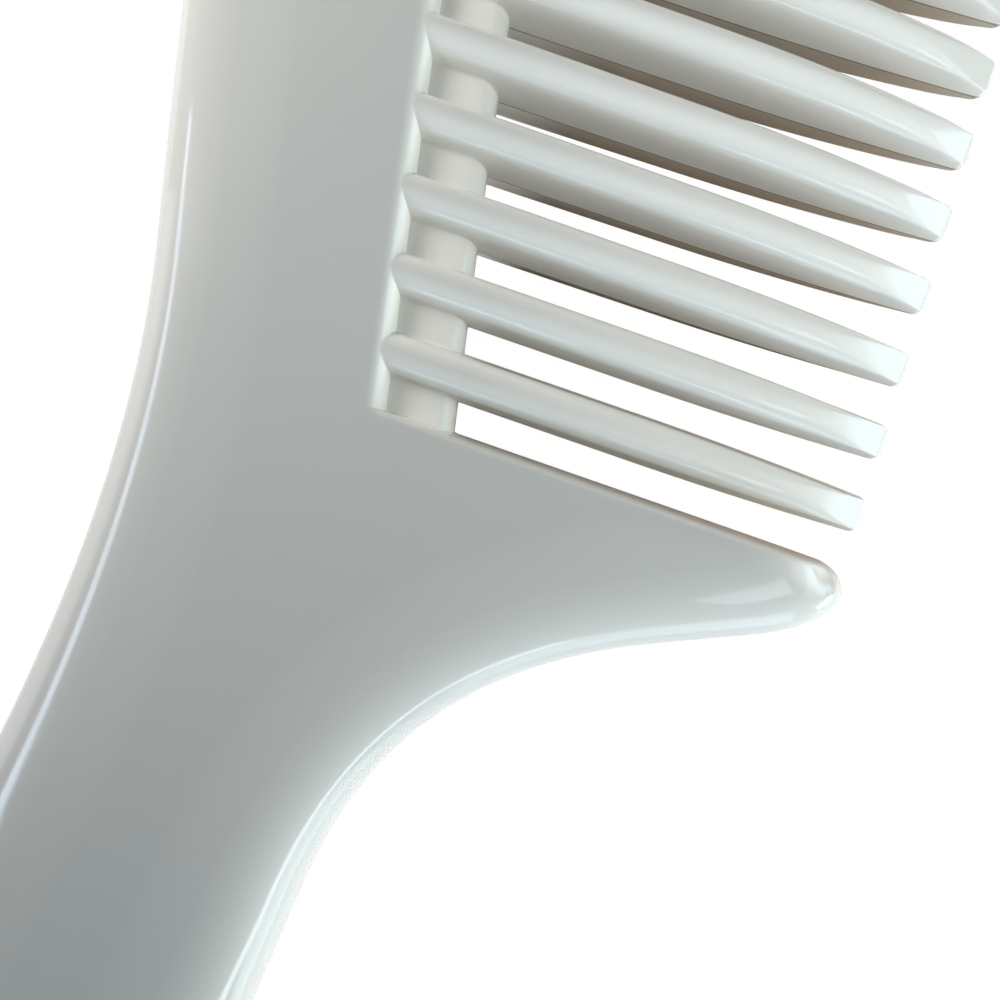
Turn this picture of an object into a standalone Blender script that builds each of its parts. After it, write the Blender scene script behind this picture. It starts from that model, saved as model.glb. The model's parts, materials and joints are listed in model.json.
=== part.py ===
"""A handled wide-tooth comb, moulded in ivory plastic, lying on its back face.

The drawing frame has its origin where the first gap's end wall meets the heel guard, +X from the
handle to the toe, and the teeth pointing to -Y. The mould's parting plane is z = 0, and both halves
are alike. Every piece is then placed so that the comb stands on z = 0, centred on the origin.
"""

import math

import bmesh
import bpy
import numpy as np
from mathutils import Vector
from mathutils.geometry import delaunay_2d_cdt

MM = 0.001

# Thickness of the moulding
HALF_THICKNESS = 3.1 * MM
CROWN_REACH = 9.0 * MM  # how far in from the edge the faces go on rising
CROWN_POWER = 5.0  # a higher power makes a squarer edge

# Row of teeth
TOOTH_COUNT = 14
TOOTH_PITCH = 5.0 * MM
TOOTH_WIDTH = 3.2 * MM
TOOTH_TIP_WIDTH = 2.37 * MM
TOOTH_LEAN = 0.0065  # towards the toe, for each unit of length
END_GAP = 2.05 * MM  # between a guard and its neighbouring tooth
TOOTH_REACH = 27.28 * MM  # from the root line's start to the line of the guards' tips
TOOTH_ADVANCE = 0.25 * MM  # of the teeth's ends past that line
TIP_LINE_RISE = 0.053
FLANK_DRAFT = math.radians(10.2)
SHOULDER_SHARE = 0.61  # height at which the flank turns into the dome
CREST_STEP = 0.1 * MM  # from the spine's face down to the crest of a root
TAPER_START = 0.41  # share of the tooth's length
TAPER_POWER = 2.1
CREST_FALL = 0.28  # share of the height lost evenly along the tooth
TIP_FALL = 0.38  # share lost in the taper
TIP_ROUNDING = 0.5 * MM
TIP_FLAT_RUN = 5.4 * MM  # length of the flat that thins a tooth's end on both faces
TIP_FLAT_HEIGHT = 0.75 * MM  # half the thickness that it leaves at the tip

# Web that carries the teeth, with a pocket between each two
ROOT_RISE = 0.22  # slope of the root line at the heel
ROOT_CREST = 70.0 * MM  # where the root line is level
WEB_DEPTH = 4.45 * MM
WEB_HALF_THICKNESS = 1.5 * MM
WEB_NOSE = 1.2 * MM
POCKET_DRAFT = math.radians(8.5)

# Spine and guards
SPINE_HEIGHT = 21.45 * MM  # from the root line's start to the back edge
SPINE_SPREAD = 0.0265  # how the height grows towards the toe
GUARD_TIP_CORNER = 1.65 * MM  # radius of the tip's inner corner
GUARD_TIP_WIDTH = 4.04 * MM  # across the tip's end, before its corners are rounded
GUARD_TIP_RUN = 4.95 * MM  # from where the outer side and the end would meet to where the side starts to bend
GUARD_TIP_FULLNESS = 0.6
GUARD_DRAFT = math.radians(4.0)
HEEL_FLARE = math.radians(25.0)  # between the heel guard's two sides
HEEL_STRAIGHT = 6.0 * MM
TOE_FLARE = math.radians(11.5)
TOE_STRAIGHT = 1.2 * MM
TOE_SIDE_PULL = 33.0 * MM  # how far the toe's side and the back run on into its corner
TOE_BACK_PULL = 22.0 * MM
ARCH_END = 50.0 * MM

# Handle
NECK_OFFSET = 32.2 * MM  # from the heel guard's inner wall
NECK_WIDTH = 22.73 * MM
NECK_CENTRE = 10.85 * MM
HEAD_BLEND = 5.4 * MM  # where the neck's back edge joins the head's
SWEEP_NECK_PULL = 12.85 * MM
SWEEP_GUARD_PULL = 10.25 * MM
HANDLE_LENGTH = 88.2 * MM
HANDLE_END_WIDTH = 19.5 * MM
HANDLE_SWELL = 2.2 * MM
HANDLE_RISE = 6.05 * MM
HANDLE_ROUND = 12.0 * MM  # length of the rounded end

# Joints between the pieces
JOINT_GAP = 0.1 * MM
GUARD_SEAM = 2.5 * MM  # below the root line
SEAT_OVERLAP = 1.0 * MM  # of shapes that are united

# Fineness of the facets
EDGE_STEP = 2.2 * MM
RINGS = (0.0, 0.15 * MM, 0.55 * MM, 1.25 * MM, 2.4 * MM, 4.6 * MM, CROWN_REACH)
TOOTH_STATIONS = (0.0, 0.3, 0.55, 0.7, 0.8, 0.88, 0.94)
DOME_STEPS = 3
WEB_STEPS = 36

IVORY = (0.80, 0.78, 0.72, 1.0)
GLOSS_ROUGHNESS = 0.18

SPAN = 2 * END_GAP + TOOTH_WIDTH + (TOOTH_COUNT - 1) * TOOTH_PITCH
OUTSIDE = 3 * HALF_THICKNESS  # how far cutters reach beyond the comb


def clear_scene():
    for obj in list(bpy.data.objects):
        bpy.data.objects.remove(obj, do_unlink=True)


# Lines that the drawing is built on


def root_line(x):
    """Y of the gaps' end walls."""
    return ROOT_RISE * x * (1 - x * x / (3 * ROOT_CREST * ROOT_CREST))


def root_slope(x):
    return ROOT_RISE * (1 - x * x / (ROOT_CREST * ROOT_CREST))


def back_line(x):
    """Y of the spine's back edge."""
    return root_line(x) + SPINE_HEIGHT + SPINE_SPREAD * x


def back_along(x):
    """Direction of the back edge, towards the toe."""
    return Vector((1.0, root_slope(x) + SPINE_SPREAD)).normalized()


def tip_line(x):
    return -TOOTH_REACH + TIP_LINE_RISE * x


def tooth_centre(index):
    """X of a tooth where it meets the back of its pockets."""
    return END_GAP + TOOTH_WIDTH / 2 + index * TOOTH_PITCH


def leaned(x, y):
    """X at y of a line that starts at x on the back of the pockets and leans as the teeth do."""
    return x + TOOTH_LEAN * (root_line(x) + WEB_DEPTH - y)


def bezier(start, start_pull, end_pull, end, count):
    """Points along a cubic curve, without the last."""
    points = []
    for step in range(count):
        t = step / count
        s = 1 - t
        points.append(s ** 3 * start + 3 * s * s * t * start_pull + 3 * s * t * t * end_pull + t ** 3 * end)
    return points


def arc(centre, radius, start, end, count):
    """Points round a circle from one angle to another, without the last."""
    angles = [start + (end - start) * step / count for step in range(count)]
    return [centre + radius * Vector((math.cos(angle), math.sin(angle))) for angle in angles]


def handle_half_width(share):
    """Half the handle's width at a share of its length, with the rounded end."""
    width = NECK_WIDTH + (HANDLE_END_WIDTH - NECK_WIDTH) * share * share
    width += HANDLE_SWELL * math.sin(math.pi * share)
    into_round = (share - 1) * HANDLE_LENGTH / HANDLE_ROUND + 1
    if into_round > 0:
        width *= math.sqrt(max(0.0, 1 - into_round * into_round))
    return width / 2


def handle_edge(side):
    """Points along one edge of the handle, from the neck to its end."""
    straight = HANDLE_LENGTH - HANDLE_ROUND
    steps = round(straight / (2 * EDGE_STEP))
    turns = 8
    runs = [straight * step / steps for step in range(steps)]
    runs += [straight + HANDLE_ROUND * math.sin(math.pi / 2 * turn / turns) for turn in range(turns + 1)]
    points = []
    for run in runs:
        share = run / HANDLE_LENGTH
        centre = NECK_CENTRE + HANDLE_RISE * math.sin(math.pi / 2 * share)
        points.append(Vector((-NECK_OFFSET - run, centre + side * handle_half_width(share))))
    return points


def guard_tip(wall_x, side, flare):
    """A guard's end, with side -1 at the heel and 1 at the toe.

    Gives the centre of its inner corner, the line of its end up to where the outer side would meet it,
    and the point where the outer side starts to bend, with that side's direction away from the tip.
    """
    end = tip_line(wall_x)
    centre = Vector((leaned(wall_x, end + GUARD_TIP_CORNER) + side * GUARD_TIP_CORNER, end + GUARD_TIP_CORNER))
    meeting = Vector((leaned(wall_x, end) + side * GUARD_TIP_WIDTH, end))
    along = Vector((side * math.sin(flare), math.cos(flare)))
    return centre, meeting, meeting + GUARD_TIP_RUN * along, along


def tip_curve(centre, meeting, touch):
    """Points of the outer half of a guard's end, from under its inner corner to the outer side."""
    start = centre - Vector((0.0, GUARD_TIP_CORNER))
    return bezier(start, start.lerp(meeting, GUARD_TIP_FULLNESS), touch.lerp(meeting, GUARD_TIP_FULLNESS), touch, 6)


def handle_slopes():
    """Slopes of the handle's lower and upper edges where they leave the neck."""
    rise = math.pi / 2 * HANDLE_RISE / HANDLE_LENGTH
    spread = math.pi / 2 * HANDLE_SWELL / HANDLE_LENGTH
    return spread - rise, -spread - rise


def outer_outline():
    """The edge of the comb from the heel guard's tip round the handle and the back to the toe's tip."""
    heel_centre, heel_meeting, heel_touch, heel_along = guard_tip(0.0, -1, HEEL_FLARE)
    toe_centre, toe_meeting, toe_touch, toe_along = guard_tip(SPAN, 1, TOE_FLARE)
    heel_top = heel_touch + HEEL_STRAIGHT * heel_along
    toe_top = toe_touch + TOE_STRAIGHT * toe_along
    neck_low = Vector((-NECK_OFFSET, NECK_CENTRE - NECK_WIDTH / 2))
    neck_high = Vector((-NECK_OFFSET, NECK_CENTRE + NECK_WIDTH / 2))
    low_slope, high_slope = handle_slopes()
    low_along = Vector((1.0, low_slope)).normalized()
    high_along = Vector((1.0, high_slope)).normalized()
    head_start = Vector((HEAD_BLEND, back_line(HEAD_BLEND)))
    neck_pull = (head_start.x - neck_high.x) / 3
    arch_end = Vector((ARCH_END, back_line(ARCH_END)))

    points = arc(heel_centre, GUARD_TIP_CORNER, 0.0, -math.pi / 2, 4)
    points += tip_curve(heel_centre, heel_meeting, heel_touch)
    points += bezier(heel_touch, heel_touch.lerp(heel_top, 1 / 3), heel_touch.lerp(heel_top, 2 / 3), heel_top, 3)
    sweep = (heel_top, heel_top + SWEEP_GUARD_PULL * heel_along, neck_low + SWEEP_NECK_PULL * low_along, neck_low)
    points += bezier(*sweep, 12)
    points += handle_edge(-1)[:-1]
    points += handle_edge(1)[::-1][:-1]
    neck_curve = (neck_high + neck_pull * high_along, head_start - neck_pull * back_along(HEAD_BLEND))
    points += bezier(neck_high, *neck_curve, head_start, 10)
    arch_steps = round((ARCH_END - HEAD_BLEND) / (2 * EDGE_STEP))
    for step in range(arch_steps):
        x = HEAD_BLEND + (ARCH_END - HEAD_BLEND) * step / arch_steps
        points.append(Vector((x, back_line(x))))
    toe_curve = (arch_end + TOE_BACK_PULL * back_along(ARCH_END), toe_top + TOE_SIDE_PULL * toe_along)
    points += bezier(arch_end, *toe_curve, toe_top, 16)
    points += bezier(toe_top, toe_top.lerp(toe_touch, 1 / 3), toe_top.lerp(toe_touch, 2 / 3), toe_touch, 2)
    points += [toe_touch] + tip_curve(toe_centre, toe_meeting, toe_touch)[:0:-1]
    points += arc(toe_centre, GUARD_TIP_CORNER, -math.pi / 2, -math.pi, 4)
    points.append(toe_centre - Vector((GUARD_TIP_CORNER, 0.0)))
    return points


# Shapes


def crown(depth):
    """Height of the face over the parting plane at a distance in from the edge."""
    remains = 1 - min(depth / CROWN_REACH, 1.0)
    return HALF_THICKNESS * math.sqrt(max(0.0, 1 - remains ** CROWN_POWER))


def edge_distances(points, outline):
    """Distance of each point from the open outline, and nothing for the line that closes it."""
    starts = outline[:-1]
    runs = outline[1:] - starts
    shares = ((points[:, None, :] - starts) * runs).sum(2) / (runs * runs).sum(1)
    nearest = starts + np.clip(shares, 0, 1)[:, :, None] * runs
    return np.linalg.norm(points[:, None, :] - nearest, axis=2).min(1)


def ring_points(outline, depth):
    """Points this far in from the outline, without those that are nearer to another stretch of it."""
    ahead = np.roll(outline, -1, axis=0) - np.roll(outline, 1, axis=0)
    ahead[0] = outline[1] - outline[0]
    ahead[-1] = outline[-1] - outline[-2]
    ahead /= np.linalg.norm(ahead, axis=1)[:, None]
    inward = np.stack([ahead[:, 1], -ahead[:, 0]], axis=1)
    points = outline + depth * inward
    return points[edge_distances(points, outline) > depth * 0.97]


def crowned_blank():
    """The whole plan of the comb as one plate with rounded edges, and no gap or pocket cut yet."""
    outline = np.array([tuple(point) for point in outer_outline()])
    layers = [outline] + [ring_points(outline, depth) for depth in RINGS[1:]]
    points = np.concatenate(layers)
    rim = len(outline)
    flat, _, faces, origins, _, _ = delaunay_2d_cdt(
        [Vector(point) for point in points], [(i, (i + 1) % rim) for i in range(rim)], [list(range(rim))], 1, 1e-7
    )
    depths = edge_distances(np.array([tuple(point) for point in flat]), outline)
    on_rim = [any(origin < rim for origin in sources) for sources in origins]
    shape = bmesh.new()
    front, back = [], []
    for point, depth, rim_point in zip(flat, depths, on_rim):
        height = 0.0 if rim_point else crown(depth)
        front.append(shape.verts.new((point.x, point.y, height)))
        back.append(front[-1] if rim_point else shape.verts.new((point.x, point.y, -height)))
    for face in faces:
        shape.faces.new([front[index] for index in face])
        if not all(on_rim[index] for index in face):
            shape.faces.new([back[index] for index in reversed(face)])
    bmesh.ops.recalc_face_normals(shape, faces=shape.faces)
    return shape


def loft(sections):
    """A closed solid through rings of points that match one to one, with flat ends."""
    shape = bmesh.new()
    rings = [[shape.verts.new(point) for point in section] for section in sections]
    shape.faces.new(rings[0])
    shape.faces.new(list(reversed(rings[-1])))
    for near, far in zip(rings, rings[1:]):
        for i in range(len(near)):
            j = (i + 1) % len(near)
            shape.faces.new((near[i], near[j], far[j], far[i]))
    bmesh.ops.recalc_face_normals(shape, faces=shape.faces)
    return shape


def tooth_section(x, y, half_width, height, limit=HALF_THICKNESS):
    """A tooth's section: drafted flanks that meet on the parting line, under a dome on both faces.

    The limit is the height at which a flat cuts the dome off.
    """
    shoulder = SHOULDER_SHARE * height
    draft = math.tan(FLANK_DRAFT) * half_width / (TOOTH_WIDTH / 2) * HALF_THICKNESS / height
    dome_width = half_width - shoulder * draft
    quarter = [(half_width, 0.0)]
    for step in range(DOME_STEPS + 1):
        angle = math.pi / 2 * step / DOME_STEPS
        quarter.append((dome_width * math.cos(angle), shoulder + (height - shoulder) * math.sin(angle)))
    quarter = [(across, min(up, limit)) for across, up in quarter]
    half = quarter + [(-across, up) for across, up in reversed(quarter[:-1])]
    ring = half + [(across, -up) for across, up in reversed(half[1:-1])]
    return [(x + across, y, up) for across, up in ring]


def tooth_size(share):
    """Half width and height of a tooth at a share of its free length."""
    taper = max(0.0, (share - TAPER_START) / (1 - TAPER_START)) ** TAPER_POWER
    half_width = TOOTH_WIDTH / 2 - (TOOTH_WIDTH - TOOTH_TIP_WIDTH) / 2 * taper
    height = (HALF_THICKNESS - CREST_STEP) * (1 - CREST_FALL * share - TIP_FALL * taper)
    return half_width, height


def flat_height(from_tip, length):
    """Height of the flat near a tooth's tip, which starts level with the crest."""
    _, crest = tooth_size(1 - TIP_FLAT_RUN / length)
    return TIP_FLAT_HEIGHT + (crest - TIP_FLAT_HEIGHT) * from_tip / TIP_FLAT_RUN


def tooth_end(index):
    return tip_line(tooth_centre(index)) - TOOTH_ADVANCE


def tooth_cut(index):
    """Y of the square joint between a tooth and its ridge on the web."""
    x = tooth_centre(index)
    return min(root_line(x - TOOTH_WIDTH / 2), root_line(x + TOOTH_WIDTH / 2))


def tooth_shape(index):
    x = tooth_centre(index)
    start, end = tooth_cut(index) - JOINT_GAP / 2, tooth_end(index)
    length = start - end
    sections = []
    for share in TOOTH_STATIONS:
        y = start - share * length
        flat = flat_height(y - end, length)
        sections.append(tooth_section(leaned(x, y), y, *tooth_size(share), flat))
    for angle in (math.radians(0), math.radians(35), math.radians(65)):
        y = end + TIP_ROUNDING * (1 - math.sin(angle))
        half_width, height = tooth_size((start - y) / length)
        inset = TIP_ROUNDING * (1 - math.cos(angle))
        flat = flat_height(y - end, length)
        sections.append(tooth_section(leaned(x, y), y, half_width - inset, height - inset, flat - inset))
    return loft(sections)


def ridge_shape(index):
    """The root of a tooth, from its joint across the web and into the spine."""
    x = tooth_centre(index)
    start = tooth_cut(index) + JOINT_GAP / 2
    end = root_line(x) + WEB_DEPTH + 2 * SEAT_OVERLAP
    return loft([tooth_section(leaned(x, y), y, *tooth_size(0.0)) for y in (start, end)])


def web_shape():
    """The thin plate under the pockets, with a rounded nose along the gaps."""
    quarter = [(0.0, 0.0), (0.0, WEB_HALF_THICKNESS - WEB_NOSE)]
    for angle in (math.radians(30), math.radians(60), math.radians(90)):
        across = WEB_NOSE * (1 - math.cos(angle))
        quarter.append((across, WEB_HALF_THICKNESS - WEB_NOSE * (1 - math.sin(angle))))
    quarter.append((WEB_DEPTH + SEAT_OVERLAP, WEB_HALF_THICKNESS))
    ring = quarter + [(across, -up) for across, up in reversed(quarter[1:])]
    sections = []
    for step in range(WEB_STEPS + 1):
        x = -SEAT_OVERLAP + (SPAN + 2 * SEAT_OVERLAP) * step / WEB_STEPS
        sections.append([(x, root_line(x) + across, up) for across, up in ring])
    return loft(sections)


def window_shape():
    """What the row of teeth takes out of the plate, with walls drafted from the parting line."""
    far = tip_line(0.0) - OUTSIDE
    sections = []
    for height in (-HALF_THICKNESS - OUTSIDE, 0.0, HALF_THICKNESS + OUTSIDE):
        side = abs(height) * math.tan(GUARD_DRAFT)
        back = WEB_DEPTH + max(0.0, abs(height) - WEB_HALF_THICKNESS) * math.tan(POCKET_DRAFT)
        section = [(leaned(0.0, far) - side, far, height)]
        for step in range(WEB_STEPS // 2 + 1):
            x = -side + (SPAN + 2 * side) * step / (WEB_STEPS // 2)
            section.append((x, root_line(x) + back, height))
        section.append((leaned(SPAN, far) + side, far, height))
        sections.append(section)
    return loft(sections)


def box_shape(low, high):
    shape = bmesh.new()
    bmesh.ops.create_cube(shape, size=1.0)
    for vert in shape.verts:
        for axis in range(3):
            vert.co[axis] = high[axis] if vert.co[axis] > 0 else low[axis]
    return shape


# Objects


def add_object(name, shape):
    mesh = bpy.data.meshes.new(name)
    shape.to_mesh(mesh)
    shape.free()
    obj = bpy.data.objects.new(name, mesh)
    bpy.context.scene.collection.objects.link(obj)
    return obj


def add_cutter(name, shape):
    obj = add_object(name, shape)
    obj.hide_render = True
    obj.display_type = "WIRE"
    return obj


def boolean(obj, other, operation):
    modifier = obj.modifiers.new(other.name, "BOOLEAN")
    modifier.operation = operation
    modifier.solver = "EXACT"
    modifier.object = other


def plastic(name):
    material = bpy.data.materials.new(name)
    material.use_nodes = True
    shader = material.node_tree.nodes["Principled BSDF"]
    shader.inputs["Base Color"].default_value = IVORY
    shader.inputs["Roughness"].default_value = GLOSS_ROUGHNESS
    shader.inputs["Metallic"].default_value = 0.0
    material.diffuse_color = IVORY
    return material


def finish(obj):
    """Gives a piece its own plastic, smooth shading and its place on the ground."""
    obj.data.materials.append(plastic(obj.name + "_plastic"))
    obj.data.shade_smooth()
    obj.data.set_sharp_from_angle(angle=math.radians(35))


def build_body(blank):
    """Handle, spine and guards, all cut from the same crowned plate."""
    wide = 4 * (HANDLE_LENGTH + SPAN)
    half_gap = JOINT_GAP / 2
    low, high = -HALF_THICKNESS - OUTSIDE, HALF_THICKNESS + OUTSIDE
    window = add_cutter("window_cutter", window_shape())
    toe_seam = root_line(SPAN) - GUARD_SEAM

    def cutter(name, x_low, x_high, y_high):
        return add_cutter(name, box_shape((x_low, -wide, low), (x_high, y_high, high)))

    handle = add_object("handle", blank.copy())
    boolean(handle, cutter("handle_side", -wide, -NECK_OFFSET - half_gap, wide), "INTERSECT")

    spine = add_object("spine", blank.copy())
    boolean(spine, cutter("head_side", -NECK_OFFSET + half_gap, wide, wide), "INTERSECT")
    boolean(spine, cutter("heel_room", -wide, SPAN / 2, -GUARD_SEAM + half_gap), "DIFFERENCE")
    boolean(spine, cutter("toe_room", SPAN / 2, wide, toe_seam + half_gap), "DIFFERENCE")
    boolean(spine, window, "DIFFERENCE")
    boolean(spine, add_cutter("web", web_shape()), "UNION")
    for index in range(TOOTH_COUNT):
        boolean(spine, add_cutter(f"ridge_{index + 1:02d}", ridge_shape(index)), "UNION")

    heel = add_object("heel_guard", blank.copy())
    boolean(heel, cutter("heel_side", -NECK_OFFSET, SPAN / 2, -GUARD_SEAM - half_gap), "INTERSECT")
    boolean(heel, window, "DIFFERENCE")

    toe = add_object("toe_guard", blank)
    boolean(toe, cutter("toe_side", SPAN / 2, wide, toe_seam - half_gap), "INTERSECT")
    boolean(toe, window, "DIFFERENCE")
    return [handle, spine, heel, toe]


def main():
    clear_scene()
    outline = outer_outline()
    centre_x = (min(point.x for point in outline) + max(point.x for point in outline)) / 2
    lowest = min([point.y for point in outline] + [tooth_end(index) for index in range(TOOTH_COUNT)])
    centre_y = (lowest + max(point.y for point in outline)) / 2
    pieces = build_body(crowned_blank())
    for index in range(TOOTH_COUNT):
        pieces.append(add_object(f"tooth_{index + 1:02d}", tooth_shape(index)))
    for piece in pieces:
        finish(piece)
    for obj in bpy.data.objects:
        obj.location = (-centre_x, -centre_y, HALF_THICKNESS)


main()
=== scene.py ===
"""A handled wide-tooth comb in glossy ivory plastic, on a white table under soft studio light.

The comb is one moulding. Its drawing frame has the origin where the first gap's end wall meets the
heel guard, +X from the handle to the toe, the teeth pointing to -Y, and the mould's parting plane
at z = 0.
"""

import json
import logging
import math
from collections.abc import Callable, Sequence
from dataclasses import dataclass, field
from enum import Enum
from typing import Union

import bmesh
import bpy
import numpy as np
from bpy.types import Material, Object
from mathutils import Matrix, Vector
from mathutils.geometry import delaunay_2d_cdt

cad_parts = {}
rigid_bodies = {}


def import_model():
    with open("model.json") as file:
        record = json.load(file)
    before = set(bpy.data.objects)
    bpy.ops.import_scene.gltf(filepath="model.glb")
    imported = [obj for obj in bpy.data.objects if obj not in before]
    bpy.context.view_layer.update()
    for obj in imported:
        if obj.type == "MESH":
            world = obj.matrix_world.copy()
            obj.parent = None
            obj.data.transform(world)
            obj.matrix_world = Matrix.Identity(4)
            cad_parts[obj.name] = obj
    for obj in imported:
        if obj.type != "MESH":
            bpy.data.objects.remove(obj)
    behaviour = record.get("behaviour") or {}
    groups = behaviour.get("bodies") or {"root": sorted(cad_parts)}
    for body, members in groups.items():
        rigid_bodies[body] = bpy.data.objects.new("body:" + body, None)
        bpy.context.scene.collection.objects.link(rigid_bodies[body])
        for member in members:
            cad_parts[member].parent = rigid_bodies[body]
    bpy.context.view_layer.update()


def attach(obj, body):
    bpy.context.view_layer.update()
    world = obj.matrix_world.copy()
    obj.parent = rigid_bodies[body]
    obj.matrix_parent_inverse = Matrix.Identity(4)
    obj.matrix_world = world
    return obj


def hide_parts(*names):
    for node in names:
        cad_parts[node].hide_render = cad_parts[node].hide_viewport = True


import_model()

MM = 0.001
BODY = "root"
LOG = logging.getLogger("comb")

# Distances in metres at which points are joined, stand on a line, or are level with a plane
JOINED = 1e-7
ON_LINE = 1e-8
LEVEL = 1e-9
# Decimals of a metre to which the columns of points are rounded
DECIMALS = 9
# The sharpest turn between faces that is shaded as one surface
SMOOTH = math.radians(18)
# What the triangulation gives back: the triangles inside the outline
INSIDE_ONLY = 1
WHOLE_NORMAL = "whole_normal"
WHITE = (1.0, 1.0, 1.0, 1.0)

Array = np.ndarray
Points = list[Vector]
Patch = tuple[Array, list[tuple[int, ...]]]


class Side(Enum):
    """The two ends of the row of teeth, by the direction in which they lie along X."""

    HEEL = -1
    TOE = 1


# Helpers for modelling by operator


def deselect() -> None:
    """Deselects every object, so that an operator acts on nothing by mistake."""
    for obj in bpy.context.view_layer.objects:
        obj.select_set(False)


def activate(obj: Object) -> None:
    """Makes one object the only selected and the active one.

    Args:
        obj: The object that the next operators act on.
    """
    deselect()
    obj.select_set(True)
    bpy.context.view_layer.objects.active = obj


def mesh_object(name: str, points: Array, faces: Sequence[Sequence[int]]) -> Object:
    """Adds an object from points and faces.

    Args:
        name: The object's name.
        points: One row of three coordinates for each vertex.
        faces: The vertices of each face.

    Returns:
        The new object, at the origin.
    """
    mesh = bpy.data.meshes.new(name)
    mesh.from_pydata([tuple(point) for point in points], [], [tuple(face) for face in faces])
    obj = bpy.data.objects.new(name, mesh)
    bpy.context.scene.collection.objects.link(obj)
    return obj


def copy_object(obj: Object, name: str) -> Object:
    """Copies an object together with its mesh.

    Args:
        obj: What is copied.
        name: The copy's name.

    Returns:
        The copy.
    """
    twin = obj.copy()
    twin.data = obj.data.copy()
    twin.name = name
    bpy.context.scene.collection.objects.link(twin)
    return twin


def edit(obj: Object, select: str = "SELECT") -> None:
    """Opens an object in edit mode.

    Args:
        obj: The object to edit.
        select: What happens to the selection: SELECT or DESELECT.
    """
    activate(obj)
    bpy.ops.object.mode_set(mode="EDIT")
    bpy.ops.mesh.select_all(action=select)


def close_edit() -> None:
    """Goes back to object mode."""
    bpy.ops.object.mode_set(mode="OBJECT")


def select_faces(obj: Object, wanted: Callable[[Vector], bool]) -> None:
    """Selects faces by the place of their middles, in edit mode.

    Args:
        obj: The object that is being edited.
        wanted: Whether a face whose middle is there is selected.
    """
    bpy.ops.mesh.select_mode(type="FACE")
    form = bmesh.from_edit_mesh(obj.data)
    for face in form.faces:
        face.select_set(wanted(face.calc_center_median()))
    form.select_flush_mode()
    bmesh.update_edit_mesh(obj.data)


def face_outward() -> None:
    """Makes all faces of the mesh that is being edited look outwards."""
    bpy.ops.mesh.select_all(action="SELECT")
    bpy.ops.mesh.normals_make_consistent(inside=False)


def close_openings() -> None:
    """Gives each open loop of the mesh that is being edited a face."""
    bpy.ops.mesh.select_non_manifold(extend=False, use_wire=False, use_multi_face=False)
    bpy.ops.mesh.edge_face_add()


def keep_normals(obj: Object) -> None:
    """Notes which way each corner of a mesh faces, before it is divided.

    Args:
        obj: The object with the mesh.
    """
    mesh = obj.data
    values = np.empty(len(mesh.loops) * 3, dtype=np.float32)
    mesh.corner_normals.foreach_get("vector", values)
    kept = mesh.attributes.new(WHOLE_NORMAL, "FLOAT_VECTOR", "CORNER")
    kept.data.foreach_set("vector", values)


def restore_normals(obj: Object) -> None:
    """Faces the corners along the selected joints as before the division, so no seam shows.

    Args:
        obj: A section whose joint faces are selected.
    """
    mesh = obj.data
    kept = np.empty(len(mesh.loops) * 3, dtype=np.float32)
    mesh.attributes[WHOLE_NORMAL].data.foreach_get("vector", kept)
    kept = kept.reshape(-1, 3)
    corners = np.empty(len(mesh.loops), dtype=np.int64)
    mesh.loops.foreach_get("vertex_index", corners)
    joints = [polygon for polygon in mesh.polygons if polygon.select]
    on_joint = np.zeros(len(mesh.vertices), dtype=bool)
    for polygon in joints:
        on_joint[list(polygon.vertices)] = True
    kept[~on_joint[corners]] = 0.0
    for polygon in joints:
        kept[polygon.loop_start:polygon.loop_start + polygon.loop_total] = 0.0
    mesh.attributes.remove(mesh.attributes[WHOLE_NORMAL])
    mesh.normals_split_custom_set([tuple(normal) for normal in kept])


# Helpers for drawing


def quarter_turns(steps: int) -> list[float]:
    """Even angles from 0 to a right angle, both included."""
    return [math.pi / 2 * step / steps for step in range(steps + 1)]


def soft_least(first: Array | float, second: Array | float, power: float) -> Array | float:
    """The lower of two heights, eased where they are close, and sharper with a higher power."""
    return first * (1 + (first / second) ** power) ** (-1 / power)


def bezier(start: Vector, start_pull: Vector, end_pull: Vector, end: Vector, step: float) -> Points:
    """Points along a cubic curve, without the last.

    Args:
        start: First point.
        start_pull: Its handle.
        end_pull: The last point's handle.
        end: Last point.
        step: Rough distance between points.

    Returns:
        The points.
    """
    count = max(2, round((start - end).length / step))
    points = []
    for i in range(count):
        t = i / count
        s = 1 - t
        near_start = s ** 3 * start + 3 * s * s * t * start_pull
        points.append(near_start + 3 * s * t * t * end_pull + t ** 3 * end)
    return points


def arc(centre: Vector, radius: float, start: float, end: float, count: int) -> Points:
    """Points round a circle from one angle to another, without the last."""
    angles = [start + (end - start) * i / count for i in range(count)]
    return [centre + radius * Vector((math.cos(angle), math.sin(angle))) for angle in angles]


@dataclass(frozen=True)
class Seam:
    """A flat division of the moulding.

    Attributes:
        name: The section that it cuts off.
        side: The end of the row that it is near.
        halfway: X of the middle of the row.
        place: A point on it.
        normal: Its direction, out of the section.
    """

    name: str
    side: Side
    halfway: float
    place: Vector
    normal: Vector

    def beside(self, place: Vector) -> bool:
        """Whether a place is on the seam's half of the comb."""
        return (place.x - self.halfway) * self.side.value > 0

    def holds(self, place: Vector) -> bool:
        """Whether a place is in the section that the seam cuts off."""
        return self.beside(place) and (place - self.place).dot(self.normal) < 0


# The comb's plan and its crown


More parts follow.
